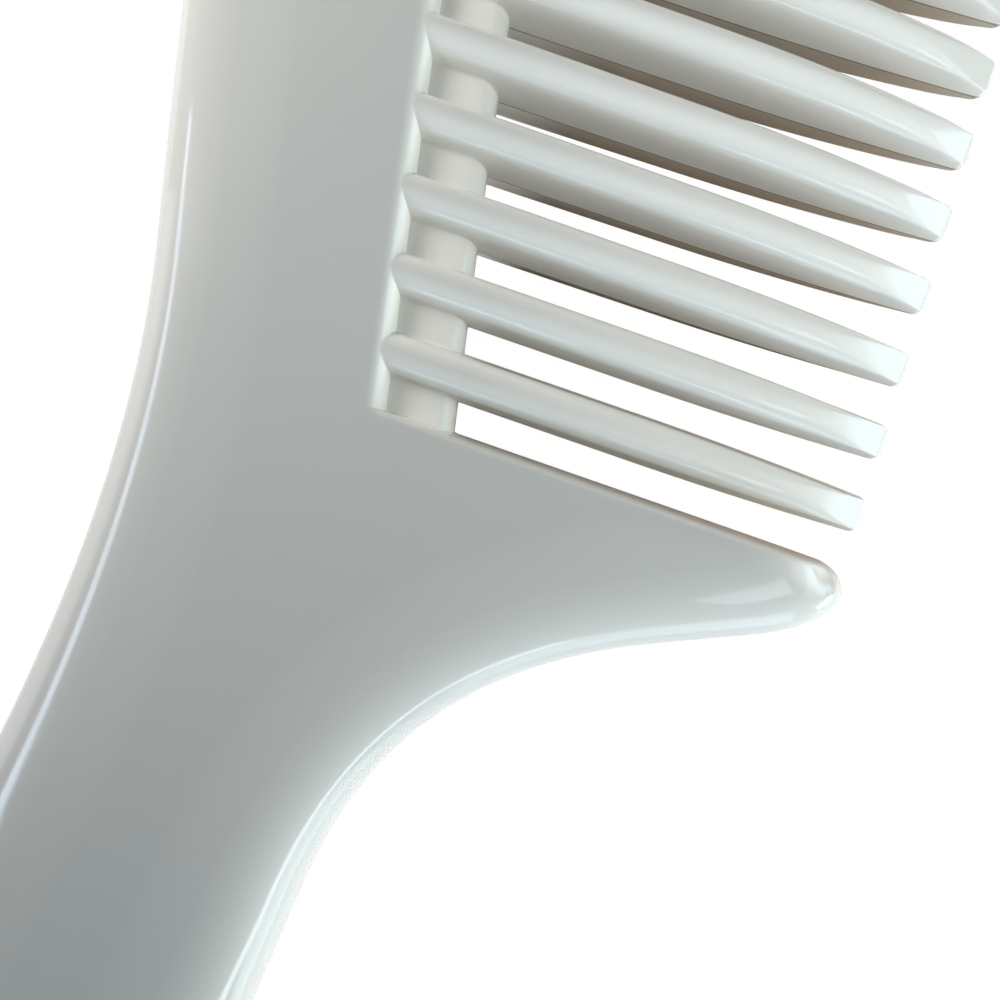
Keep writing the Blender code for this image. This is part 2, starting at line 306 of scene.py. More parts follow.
@dataclass(frozen=True)
class Crown:
    """How the faces rise from the edge of the plan, alike on the front and the back.

    Attributes:
        half_thickness: From the parting plane to the level middle of a face.
        reach: How far in from the edge the face goes on rising.
        power: A higher power makes a squarer edge.
        rings: How many steps the rise is drawn in.
    """

    half_thickness: float = 3.1 * MM
    reach: float = 9.0 * MM
    power: float = 5.0
    rings: int = 16

    def height(self, depth: Array) -> Array:
        """Height over the parting plane at each distance in from the edge."""
        remains = 1 - np.clip(depth / self.reach, 0, 1)
        return self.half_thickness * np.sqrt(1 - remains ** self.power)

    def ring_depths(self) -> list[float]:
        """Distances from the edge at which the crown turns by the same angle each time."""
        turns = quarter_turns(self.rings)[1:]
        return [self.reach * (1 - max(0.0, math.cos(turn)) ** (2 / self.power)) for turn in turns]


@dataclass(frozen=True)
class Row:
    """Places and sizes of the teeth, and of the pocketed web behind them."""

    count: int = 14
    pitch: float = 5.0 * MM
    width: float = 3.2 * MM
    tip_width: float = 2.37 * MM
    lean: float = 0.0065
    lean_rounds: int = 4
    end_gap: float = 2.05 * MM
    reach: float = 27.28 * MM
    tip_rise: float = 0.053
    advance: float = 0.25 * MM
    draft: float = math.radians(10.2)
    shoulder: float = 0.61
    flank_steps: int = 5
    crest_steps: int = 14
    crest_step: float = 0.1 * MM
    taper_start: float = 0.41
    taper_power: float = 2.1
    crest_fall: float = 0.28
    crest_ease: float = 0.03
    tip_fall: float = 0.38
    tip_rounding: float = 0.5 * MM
    flat_run: float = 5.4 * MM
    flat_height: float = 0.36 * MM
    flat_power: float = 14.0
    nose: float = 0.22 * MM
    root_rise: float = 0.22
    root_crest: float = 70.0 * MM
    stub: float = 0.3 * MM
    web_depth: float = 4.45 * MM
    web_half_thickness: float = 1.5 * MM
    web_nose: float = 1.3 * MM
    pocket_roll: float = 1.1 * MM
    wall_roll: float = 0.6 * MM

    @property
    def span(self) -> float:
        """Distance between the inner walls of the two guards."""
        return 2 * self.end_gap + self.width + (self.count - 1) * self.pitch

    def root_line(self, x: Array | float) -> Array | float:
        """Y of the gaps' end walls at x."""
        return self.root_rise * x * (1 - x * x / (3 * self.root_crest ** 2))

    def root_slope(self, x: float) -> float:
        """Slope of the root line at x."""
        return self.root_rise * (1 - x * x / self.root_crest ** 2)

    def tip_line(self, x: float) -> float:
        """Y of the guards' tips at x."""
        return -self.reach + self.tip_rise * x

    def end(self, index: int) -> float:
        """Y of a tooth's end."""
        return self.tip_line(self.centre(index)) - self.advance

    def leaned(self, x: Array | float, y: Array | float) -> Array | float:
        """X at y of a line that starts at x on the pockets' back and leans as the teeth do."""
        return x + self.lean * (self.root_line(x) + self.web_depth - y)

    def upright(self, x: Array | float, y: Array | float) -> Array | float:
        """Where the leaning line through a place starts, on the back of the pockets.

        Args:
            x: The place's x.
            y: The place's y.

        Returns:
            X of the line's start.
        """
        start = x
        for _ in range(self.lean_rounds):
            start = x - self.lean * (self.root_line(start) + self.web_depth - y)
        return start

    def centre(self, index: int) -> float:
        """X of a tooth's middle at the back of the pockets, counted from 0 at the heel."""
        return self.end_gap + self.width / 2 + index * self.pitch

    def cut(self, index: int) -> float:
        """Y of the square joint between a tooth and its root."""
        return self.root_line(self.centre(index) - self.width / 2) - self.stub

    def root_height(self, half_thickness: float) -> float:
        """Height of a root's crest over the parting plane."""
        return half_thickness - self.crest_step

    def section(self, half_thickness: float) -> list[tuple[float, float]]:
        """A quarter of a root's section, from the parting line up to the crest.

        Args:
            half_thickness: The comb's, from which the crest steps down.

        Returns:
            Distances across from the middle, each with its height.
        """
        height = self.root_height(half_thickness)
        shoulder = self.shoulder * height
        flank = [shoulder * step / self.flank_steps for step in range(self.flank_steps)]
        points = [(self.width / 2 - up * math.tan(self.draft), up) for up in flank]
        for turn in quarter_turns(self.crest_steps):
            up = shoulder + (height - shoulder) * math.sin(turn)
            points.append(((self.width / 2 - up * math.tan(self.draft)) * math.cos(turn), up))
        return points

    def size(self, share: float) -> tuple[float, float]:
        """How a tooth narrows and thins.

        Args:
            share: Place along the tooth, from 0 at its root to 1 at its end.

        Returns:
            Width and height there, as shares of those at the root.
        """
        taper = max(0.0, (share - self.taper_start) / (1 - self.taper_start)) ** self.taper_power
        fall = math.hypot(share, self.crest_ease) - self.crest_ease
        wide = 1 - (1 - self.tip_width / self.width) * taper
        return wide, 1 - self.crest_fall * fall - self.tip_fall * taper

    def flat(self, from_tip: float, length: float, half_thickness: float) -> float:
        """Height of the flat that thins a tooth's end, over its rounded edge too.

        Args:
            from_tip: Distance from the tooth's end.
            length: The tooth's length.
            half_thickness: The comb's.

        Returns:
            The height over the parting plane.
        """
        crest = self.size(1 - self.flat_run / length)[1] * self.root_height(half_thickness)
        edge = min(1.0, from_tip / self.tip_rounding) - 1
        inset = self.nose * (1 - math.sqrt(1 - edge * edge))
        return self.flat_height + (crest - self.flat_height) * from_tip / self.flat_run - inset


@dataclass(frozen=True)
class Guard:
    """One of the two end guards: how its outer side runs up from the tip.

    Attributes:
        side: Which end of the row it stands at.
        flare: Angle between its inner and outer sides.
        straight: Length of the straight stretch above the tip.
        seam: How far below the root line it is divided from the spine.
        tip_width: Width across the end, before its corners are rounded.
        tip_corner: Radius of the inner corner.
        tip_run: Length of the outer side that its rounded corner takes up.
        fullness: How far the outer corner is drawn towards the point where side and end would meet.
    """

    side: Side
    flare: float
    straight: float
    seam: float = 2.5 * MM
    tip_width: float = 4.04 * MM
    tip_corner: float = 1.65 * MM
    tip_run: float = 4.95 * MM
    fullness: float = 0.6

    def wall(self, row: Row) -> float:
        """X of the inner wall on the back of the pockets."""
        return 0.0 if self.side is Side.HEEL else row.span

    def foot(self, row: Row) -> float:
        """Y at which the inner wall passes into the rounded end."""
        return row.tip_line(self.wall(row)) + self.tip_corner

    def centre(self, row: Row) -> Vector:
        """Centre of the inner corner."""
        foot = self.foot(row)
        return Vector((row.leaned(self.wall(row), foot) + self.side.value * self.tip_corner, foot))

    def along(self) -> Vector:
        """Direction of the outer side, away from the tip."""
        return Vector((self.side.value * math.sin(self.flare), math.cos(self.flare)))

    def touch(self, row: Row) -> Vector:
        """Where the outer side starts to bend round the tip."""
        return self.meeting(row) + self.tip_run * self.along()

    def meeting(self, row: Row) -> Vector:
        """Where the outer side and the end would meet."""
        end = row.tip_line(self.wall(row))
        return Vector((row.leaned(self.wall(row), end) + self.side.value * self.tip_width, end))

    def top(self, row: Row) -> Vector:
        """The upper end of the outer side's straight stretch."""
        return self.touch(row) + self.straight * self.along()

    def end_curve(self, row: Row, step: float) -> Points:
        """Points from under the inner corner round the end to the outer side, without the last.

        Args:
            row: The row of teeth that it guards.
            step: Rough distance between points.

        Returns:
            The points in the drawing frame.
        """
        start, touch = self.centre(row) - Vector((0.0, self.tip_corner)), self.touch(row)
        pulls = [place.lerp(self.meeting(row), self.fullness) for place in (start, touch)]
        return bezier(start, *pulls, touch, step)

    def side_line(self, row: Row, step: float) -> Points:
        """Points up the straight stretch of the outer side, without the last."""
        touch, top = self.touch(row), self.top(row)
        return bezier(touch, touch.lerp(top, 1 / 3), touch.lerp(top, 2 / 3), top, step)


@dataclass(frozen=True)
class Grip:
    """The handle: where it leaves the head, and how it widens, bends and ends."""

    offset: float = 32.2 * MM
    width: float = 22.73 * MM
    centre: float = 10.85 * MM
    length: float = 88.2 * MM
    end_width: float = 19.5 * MM
    swell: float = 2.2 * MM
    rise: float = 6.05 * MM
    round_end: float = 12.0 * MM

    def half_width(self, share: float) -> float:
        """Half the width, with the rounded end.

        Args:
            share: Place along the handle, from 0 at the neck to 1 at the end.

        Returns:
            Half the width there.
        """
        width = self.width + (self.end_width - self.width) * share * share
        width += self.swell * math.sin(math.pi * share)
        into_round = (share - 1) * self.length / self.round_end + 1
        if into_round > 0:
            width *= math.sqrt(max(0.0, 1 - into_round * into_round))
        return width / 2

    def slope(self, edge: int) -> float:
        """Slope of the lower (-1) or upper (1) edge where it leaves the neck."""
        return math.pi / 2 * (-edge * self.swell - self.rise) / self.length

    def edge(self, edge: int, step: float, turns: int) -> Points:
        """Points along one edge, from the neck to the end.

        Args:
            edge: -1 for the lower edge and 1 for the upper one.
            step: Distance between points.
            turns: Steps round the end.

        Returns:
            The points in the drawing frame.
        """
        straight = self.length - self.round_end
        steps = round(straight / step)
        runs = [straight * i / steps for i in range(steps)]
        runs += [straight + self.round_end * math.sin(turn) for turn in quarter_turns(turns)]
        points = []
        for run in runs:
            share = run / self.length
            middle = self.centre + self.rise * math.sin(math.pi / 2 * share)
            points.append(Vector((-self.offset - run, middle + edge * self.half_width(share))))
        return points


@dataclass(frozen=True)
class Plan:
    """The outline, from the heel guard's tip round the handle and the back to the toe's tip."""

    row: Row = Row()
    grip: Grip = Grip()
    heel: Guard = Guard(Side.HEEL, math.radians(25.0), 6.0 * MM)
    toe: Guard = Guard(Side.TOE, math.radians(11.5), 1.2 * MM)
    spine_height: float = 21.45 * MM
    spine_spread: float = 0.0265
    head_blend: float = 5.4 * MM
    sweep_neck_pull: float = 12.85 * MM
    sweep_guard_pull: float = 10.25 * MM
    toe_side_pull: float = 33.0 * MM
    toe_back_pull: float = 22.0 * MM
    arch_end: float = 50.0 * MM
    step: float = 0.5 * MM
    toe_fineness: float = 0.8
    tip_step: float = 0.2 * MM
    tip_turns: int = 14
    handle_turns: int = 40

    def back(self, x: float) -> Vector:
        """A point of the spine's back edge."""
        return Vector((x, self.row.root_line(x) + self.spine_height + self.spine_spread * x))

    def back_along(self, x: float) -> Vector:
        """Direction of the back edge there, towards the toe."""
        return Vector((1.0, self.row.root_slope(x) + self.spine_spread)).normalized()

    def outline(self) -> Array:
        """The outer edge as an open line.

        Returns:
            One row of x and y for each point.
        """
        row, grip, heel, toe = self.row, self.grip, self.heel, self.toe
        heel_top, toe_top = heel.top(row), toe.top(row)
        neck_low = Vector((-grip.offset, grip.centre - grip.width / 2))
        neck_high = Vector((-grip.offset, grip.centre + grip.width / 2))
        low_along = Vector((1.0, grip.slope(-1))).normalized()
        high_along = Vector((1.0, grip.slope(1))).normalized()
        head, arch = self.back(self.head_blend), self.back(self.arch_end)
        neck_pull = (head.x - neck_high.x) / 3

        down = -math.pi / 2
        points = arc(heel.centre(row), heel.tip_corner, 0.0, down, self.tip_turns)
        points += heel.end_curve(row, self.tip_step) + heel.side_line(row, self.step)
        heel_pull = heel_top + self.sweep_guard_pull * heel.along()
        low_pull = neck_low + self.sweep_neck_pull * low_along
        points += bezier(heel_top, heel_pull, low_pull, neck_low, self.step)
        points += grip.edge(-1, self.step, self.handle_turns)[:-1]
        points += grip.edge(1, self.step, self.handle_turns)[::-1][:-1]
        high_pull = neck_high + neck_pull * high_along
        head_pull = head - neck_pull * self.back_along(head.x)
        points += bezier(neck_high, high_pull, head_pull, head, self.step)
        steps = round((arch.x - head.x) / self.step)
        points += [self.back(head.x + (arch.x - head.x) * i / steps) for i in range(steps)]
        arch_pull = arch + self.toe_back_pull * self.back_along(arch.x)
        toe_pull = toe_top + self.toe_side_pull * toe.along()
        points += bezier(arch, arch_pull, toe_pull, toe_top, self.toe_fineness * self.step)
        points += [toe_top] + toe.side_line(row, self.step)[:0:-1]
        points += [toe.touch(row)] + toe.end_curve(row, self.tip_step)[:0:-1]
        points += arc(toe.centre(row), toe.tip_corner, down, -math.pi, self.tip_turns)
        points.append(toe.centre(row) - Vector((toe.tip_corner, 0.0)))
        return np.array([tuple(point) for point in points])

    def offset(self) -> Vector:
        """What brings the drawing frame to the ground's, the comb centred and lying on z = 0.

        Returns:
            The shift.
        """
        outline = self.outline()
        low, high = outline.min(0), outline.max(0)
        low[1] = min(low[1], *(self.row.end(index) for index in range(self.row.count)))
        return Vector((*(-(low + high) / 2), Crown().half_thickness))


# The plate with its web and roots


@dataclass
class Plate:
    """The moulding without its teeth: handle, spine and guards as one skin, divided at the end.

    No operator makes a face rise with its distance from a free outline, and reflections show each
    flaw in it. So the front skin is drawn as heights over the plan, in even rows where the web, the
    pockets and the roots are, and as rings inside the outline everywhere else.
    """

    plan: Plan = field(default_factory=Plan)
    crown: Crown = field(default_factory=Crown)
    margin: float = 0.9 * MM
    face_depth: float = 6.4 * MM
    joint_power: float = 8.0
    wall_power: float = 4.0
    nose_power: float = 2.5
    # How steeply the skin is taken down in front of the web, to part the roots there
    gap_fall: float = 10.0
    # Columns past a guard's inner wall, in millimetres
    wall_places: tuple[float, ...] = (
        0.0, 0.004, 0.015, 0.04, 0.08, 0.13, 0.2, 0.29, 0.4, 0.52, 0.66,
    )
    # Columns over a gap, and rows on the pockets' floor and on the roots' free stretch
    gap_shares: tuple[float, ...] = (0.03, 0.1, 0.25, 0.5, 0.75, 0.9, 0.97)
    floor_shares: tuple[float, ...] = (0.2, 0.45, 0.7, 0.88, 0.96, 0.99)
    stub_shares: tuple[float, ...] = (0.0, 0.4, 0.75, 1.0)
    # Rows round the web's front edge, the rolled edge behind the pockets and a guard's tip
    nose_turns: int = 12
    roll_turns: int = 16
    foot_turns: int = 14
    wall_step: float = 1.0 * MM
    # The outer rings have all their points, and none keeps a point that has come too near
    full_rings: int = 12
    ring_share: float = 0.995
    # The loose grid, and what stays clear round the even rows
    grid: float = 2.0 * MM
    grid_inset: float = 0.6 * MM
    clearance: float = 0.2 * MM
    foot_clearance: float = 0.05 * MM
    batch: int = 1500
    outline: Array = field(init=False)

    def __post_init__(self) -> None:
        """Draws the outline once."""
        self.outline = self.plan.outline()

    def depth(self, points: Array) -> Array:
        """Distance from the outline, worked out in batches that fit in memory.

        Args:
            points: One row of x and y for each place.

        Returns:
            The distance of each place.
        """
        starts, runs = self.outline[:-1], np.diff(self.outline, axis=0)
        lengths = (runs * runs).sum(1)
        found = []
        for some in np.array_split(points, max(1, len(points) // self.batch)):
            shares = ((some[:, None, :] - starts) * runs).sum(2) / lengths
            nearest = starts + np.clip(shares, 0, 1)[:, :, None] * runs
            found.append(np.linalg.norm(some[:, None, :] - nearest, axis=2).min(1))
        return np.concatenate(found)

    def roll(self, distance: Array, reach: float) -> Array:
        """Share of its height that a wall has: 0 before its foot, and 1 from the reach on."""
        return np.sqrt(1 - (1 - np.clip(distance / reach, 0, 1)) ** self.wall_power)

    def root_profile(self, x: Array) -> Array:
        """Height of the roots, going on below the parting plane outside their flanks.

        Args:
            x: Where the leaning lines of the points start.

        Returns:
            The height at each point.
        """
        row = self.plan.row
        quarter = row.section(self.crown.half_thickness)
        across, up = np.array(quarter[::-1]).T
        index = np.clip(np.round((x - row.centre(0)) / row.pitch), 0, row.count - 1)
        aside = np.abs(x - row.centre(0) - index * row.pitch)
        outside = np.maximum(0.0, aside - row.width / 2) / math.tan(row.draft)
        return np.interp(aside, across, up) - outside

    def height(self, points: Array) -> Array:
        """Height of the front skin over the parting plane.

        Args:
            points: One row of x and y for each place.

        Returns:
            The heights.
        """
        row, top = self.plan.row, self.crown.half_thickness
        x, y = row.upright(points[:, 0], points[:, 1]), points[:, 1]
        behind = y - row.root_line(x)
        face = self.crown.height(self.depth(points))
        nose = 1 - np.clip(behind / row.web_nose, 0, 1)
        web = row.web_half_thickness * np.sqrt(1 - nose ** self.nose_power)
        web = np.where(behind > 0, web, 0.0)
        level = 1 - self.roll(behind - row.web_depth, row.pocket_roll)
        level *= 1 - self.roll(-x, row.wall_roll)
        level *= 1 - self.roll(x - row.span, row.wall_roll)
        inside = (x > 0) & (x < row.span)
        base = web + (face - web) * (1 - level)
        base = np.where(inside & (behind < 0), self.gap_fall * behind, base)
        below_face = np.maximum(top - base, LEVEL)
        below_root = np.maximum(top - self.root_profile(x), LEVEL)
        joined = soft_least(below_face, below_root, self.joint_power)
        return np.where(inside & (behind < self.face_depth + MM), top - joined, base)

    def columns(self) -> Array:
        """Columns of the even rows, close together at walls and flanks.

        Returns:
            Where their leaning lines start, from left to right.
        """
        row = self.plan.row
        wall = [value * MM for value in self.wall_places] + [self.margin]
        across = [point[0] for point in row.section(self.crown.half_thickness)]
        places = [-value for value in wall] + [row.span + value for value in wall]
        half = row.width / 2
        for index in range(row.count):
            places += [row.centre(index) + side * value for value in across for side in (-1, 1)]
            gap = row.end_gap if index == 0 else row.pitch - row.width
            places += [row.centre(index) - half - gap * share for share in self.gap_shares]
        last = row.centre(row.count - 1) + half
        places += [last + row.end_gap * share for share in self.gap_shares]
        return np.unique(np.round(places, DECIMALS))

    def rows(self) -> Array:
        """Even rows of the web, the pockets and the rolled edge behind them.

        Returns:
            Their distances behind the root line.
        """
        row = self.plan.row
        nose = [row.web_nose * (1 - math.cos(turn)) for turn in quarter_turns(self.nose_turns)]
        run = row.web_depth - row.web_nose
        floor = [row.web_nose + run * share for share in self.floor_shares]
        rolled = [row.pocket_roll * (1 - math.cos(turn)) for turn in quarter_turns(self.roll_turns)]
        roll = [row.web_depth + past for past in rolled]
        return np.array(nose + floor + roll + [self.face_depth])

    def skin(self) -> Patch:
        """The whole front skin.

        Returns:
            Its points in the drawing frame, and its faces.
        """
        patches = [self.web_patch()]
        patches += [self.stub_patch(index) for index in range(self.plan.row.count)]
        patches += [self.wall_patch(side) for side in Side]
        patches.append(self.face_patch())
        points, faces, start = [], [], 0
        for patch_points, patch_faces in patches:
            points.append(patch_points)
            faces += [tuple(start + index for index in face) for face in patch_faces]
            start += len(patch_points)
        return np.concatenate(points), faces

    def lattice(self, x: Array, y: Array) -> Patch:
        """A patch of even rows.

        Args:
            x: Where the leaning line of each point starts.
            y: The points' own y.

        Returns:
            Its points and faces.
        """
        flat = np.stack([self.plan.row.leaned(x, y).ravel(), y.ravel()], axis=1)
        points = np.column_stack([flat, self.height(flat)])
        down, along = y.shape
        faces = []
        for j in range(down - 1):
            for i in range(along - 1):
                corner = j * along + i
                faces.append((corner, corner + 1, corner + along + 1, corner + along))
        return points, faces

    def run_in(self, columns: Array, start: float, shares: Sequence[float]) -> Patch:
        """Even rows, each at its share of the way from y = start up to the root line."""
        across, share = np.meshgrid(columns, shares)
        return self.lattice(across, start * (1 - share) + self.plan.row.root_line(across) * share)

    def web_patch(self) -> Patch:
        """Web, pockets, roots and the rolled edge of the face behind them.

        Returns:
            Its points and faces.
        """
        row = self.plan.row
        columns = self.columns()
        across, behind = np.meshgrid(columns, self.rows())
        points, faces = self.lattice(across, row.root_line(across) + behind)
        aside = np.abs((columns - row.centre(0) + row.pitch / 2) % row.pitch - row.pitch / 2)
        in_gap = (aside > row.width / 2 - ON_LINE) | (columns < row.end_gap + ON_LINE)
        in_gap |= columns > row.span - row.end_gap - ON_LINE
        in_gap &= (columns > -ON_LINE) & (columns < row.span + ON_LINE)
        points[:len(columns), 2][in_gap] = 0.0
        return points, faces

    def stub_patch(self, index: int) -> Patch:
        """The short free stretch of a root in front of the web, as far as the tooth's joint.

        Args:
            index: The tooth, counted from 0 at the heel.

        Returns:
            Its points and faces.
        """
        row = self.plan.row
        quarter = [point[0] for point in row.section(self.crown.half_thickness)]
        aside = np.array([-value for value in quarter] + quarter[::-1][1:])
        columns = np.round(row.centre(index) + aside, DECIMALS)
        points, faces = self.run_in(columns, row.cut(index), self.stub_shares)
        count = len(columns)
        points[:count, 2] = self.root_profile(columns)
        for edge in (0, count - 1):
            points[edge::count, 2] = 0.0
        return points, faces

    def wall_patch(self, side: Side) -> Patch:
        """The inner wall of a guard with its rolled edge, from the tip to the web.

        Args:
            side: The guard's end of the row.

        Returns:
            Its points and faces.
        """
        row, columns = self.plan.row, self.columns()
        guard = self.plan.heel if side is Side.HEEL else self.plan.toe
        columns = columns[(columns - guard.wall(row)) * side.value >= -LEVEL]
        foot = guard.foot(row)
        reach = row.root_line(guard.wall(row)) - foot
        crown = self.crown.reach
        near = [crown * (1 - math.cos(turn)) for turn in quarter_turns(self.foot_turns)]
        steps = round((reach - crown) / self.wall_step)
        far = [crown + (reach - crown) * step / steps for step in range(1, steps + 1)]
        points, faces = self.run_in(columns, foot, np.array(near + far) / reach)
        edge = len(columns) - 1 if side is Side.HEEL else 0
        points[edge::len(columns), 2] = 0.0
        return points, faces

    def face_patch(self) -> Patch:
        """Everything else, in rings inside the outline.

        Returns:
            Its points and faces.
        """
        columns = self.columns()
        heel, _ = self.wall_patch(Side.HEEL)
        toe, _ = self.wall_patch(Side.TOE)
        wide = int((columns <= LEVEL).sum())
        behind = self.rows()
        left = [self.place(columns[0], value) for value in behind]
        right = [self.place(columns[-1], value) for value in behind]
        top = [self.place(x, behind[-1]) for x in columns]
        border = [tuple(point) for point in self.outline]
        border += [tuple(point[:2]) for point in toe[1:wide]]
        border += [tuple(point[:2]) for point in toe[2 * wide - 1::wide]]
        border += right[1:] + top[::-1][1:] + left[::-1][1:]
        border += [tuple(point[:2]) for point in heel[::wide][::-1][1:]]
        border += [tuple(point[:2]) for point in heel[1:wide - 1]]
        rim, closed = len(self.outline), len(border)
        points = [Vector(point) for point in (*border, *self.inner_points())]
        loop = [(i, (i + 1) % closed) for i in range(closed)]
        whole = [list(range(closed))]
        flat, _, faces, origins, _, _ = delaunay_2d_cdt(points, loop, whole, INSIDE_ONLY, LEVEL)
        flat = np.array([tuple(point) for point in flat])
        on_rim = np.array([any(origin < rim for origin in sources) for sources in origins])
        heights = self.height(flat)
        heights[on_rim] = 0.0
        return np.column_stack([flat, heights]), [tuple(face) for face in faces]

    def place(self, column: float, behind: float) -> tuple[float, float]:
        """Where a column is at a distance behind the root line."""
        y = self.plan.row.root_line(column) + behind
        return self.plan.row.leaned(column, y), y

    def inner_points(self) -> Array:
        """Points inside the outline: its rings, and a loose grid on the level middle.

        Returns:
            One row of x and y for each point.
        """
        row, near = self.plan.row, self.clearance
        ahead = np.roll(self.outline, -1, axis=0) - np.roll(self.outline, 1, axis=0)
        ahead[0], ahead[-1] = self.outline[1] - self.outline[0], self.outline[-1] - self.outline[-2]
        ahead /= np.linalg.norm(ahead, axis=1)[:, None]
        inward = np.stack([ahead[:, 1], -ahead[:, 0]], axis=1)
        kept = []
        for place, depth in enumerate(self.crown.ring_depths()):
            every = 1 if place < self.full_rings else 2
            ring = (self.outline + depth * inward)[1:-1:every]
            kept.append(ring[self.depth(ring) > depth * self.ring_share])
        low, high = self.outline.min(0), self.outline.max(0)
        lines = [np.arange(low[axis], high[axis], self.grid) for axis in (0, 1)]
        level = np.stack([places.ravel() for places in np.meshgrid(*lines)], axis=1)
        deep = self.depth(level) > self.crown.reach + self.grid_inset
        kept.append(level[self.inside(level) & deep])
        points = np.concatenate(kept)
        x, y = row.upright(points[:, 0], points[:, 1]), points[:, 1]
        root = row.root_line(x)
        in_rows = (x > -self.margin - near) & (x < row.span + self.margin + near)
        foot = np.where(x < row.span / 2, self.plan.heel.foot(row), self.plan.toe.foot(row))
        in_rows &= (y < root + self.face_depth + near) & (y > foot - self.foot_clearance)
        in_gap = (x > 0) & (x < row.span) & (y < root)
        return points[~in_rows & ~in_gap]

    def inside(self, points: Array) -> Array:
        """Whether places are inside the outline, by the crossings to their right.

        Args:
            points: One row of x and y for each place.

        Returns:
            The answer for each.
        """
        start, end = self.outline, np.roll(self.outline, -1, axis=0)
        x, y = points[:, :1], points[:, 1:]
        spans = (start[:, 1] > y) != (end[:, 1] > y)
        rise = np.where(end[:, 1] == start[:, 1], 1.0, end[:, 1] - start[:, 1])
        crossing = start[:, 0] + (y - start[:, 1]) * (end[:, 0] - start[:, 0]) / rise
        return (spans & (x < crossing)).sum(1) % 2 == 1

    def build(self) -> Object:
        """Draws the front skin, mirrors it to the back and closes the joints of the teeth.

        Returns:
            The undivided plate in the drawing frame.
        """
        points, faces = self.skin()
        plate = mesh_object("plate", points, faces)
        edit(plate)
        bpy.ops.mesh.remove_doubles(threshold=JOINED)
        face_outward()
        close_edit()
        mirror = plate.modifiers.new("back", "MIRROR")
        mirror.use_axis = (False, False, True)
        mirror.merge_threshold = JOINED
        mirror.use_clip = True
        activate(plate)
        bpy.ops.object.modifier_apply(modifier=mirror.name)
        edit(plate, "DESELECT")
        close_openings()
        face_outward()
        close_edit()
        return plate

    def seams(self) -> list[Seam]:
        """The divisions between the handle, the spine and the two guards.

        Returns:
            The three of them.
        """
        plan, row = self.plan, self.plan.row
        neck = Vector((-plan.grip.offset, 0.0, 0.0))
        heel = Vector((0.0, -plan.heel.seam, 0.0))
        toe = Vector((0.0, row.root_line(row.span) - plan.toe.seam, 0.0))
        across, along = Vector((1.0, 0.0, 0.0)), Vector((0.0, 1.0, 0.0))
        return [
            Seam("handle", Side.HEEL, row.span / 2, neck, across),
            Seam("heel_guard", Side.HEEL, row.span / 2, heel, along),
            Seam("toe_guard", Side.TOE, row.span / 2, toe, along),
        ]

    def divide(self, plate: Object) -> dict[str, Object]:
        """Cuts the plate into its sections, without a mark on its faces.

        Args:
            plate: The undivided plate.

        Returns:
            The sections by name.
        """
        seams = self.seams()
        for seam in seams:
            edit(plate, "DESELECT")
            select_faces(plate, seam.beside)
            bpy.ops.mesh.bisect(plane_co=seam.place, plane_no=seam.normal)
            close_edit()
        activate(plate)
        bpy.ops.object.shade_smooth_by_angle(angle=SMOOTH)
        keep_normals(plate)
        parts = {seam.name: seam.holds for seam in seams}
        parts["spine"] = lambda place: not any(seam.holds(place) for seam in seams)
        sections = {name: self.section(plate, name, holds) for name, holds in parts.items()}
        bpy.data.objects.remove(plate)
        return sections

    def section(self, plate: Object, name: str, holds: Callable[[Vector], bool]) -> Object:
        """One section of the plate, closed at its joints.

        Args:
            plate: The whole plate.
            name: The section's name.
            holds: Whether a place belongs to it.

        Returns:
            The section.
        """
        section = copy_object(plate, f"moulded_{name}")
        edit(section, "DESELECT")
        select_faces(section, lambda place: not holds(place))
        bpy.ops.mesh.delete(type="FACE")
        bpy.ops.mesh.select_all(action="DESELECT")
        bpy.ops.mesh.select_mode(type="EDGE")
        close_openings()
        bpy.ops.mesh.select_mode(type="FACE")
        close_edit()
        bpy.ops.object.shade_smooth_by_angle(angle=SMOOTH)
        restore_normals(section)
        return section


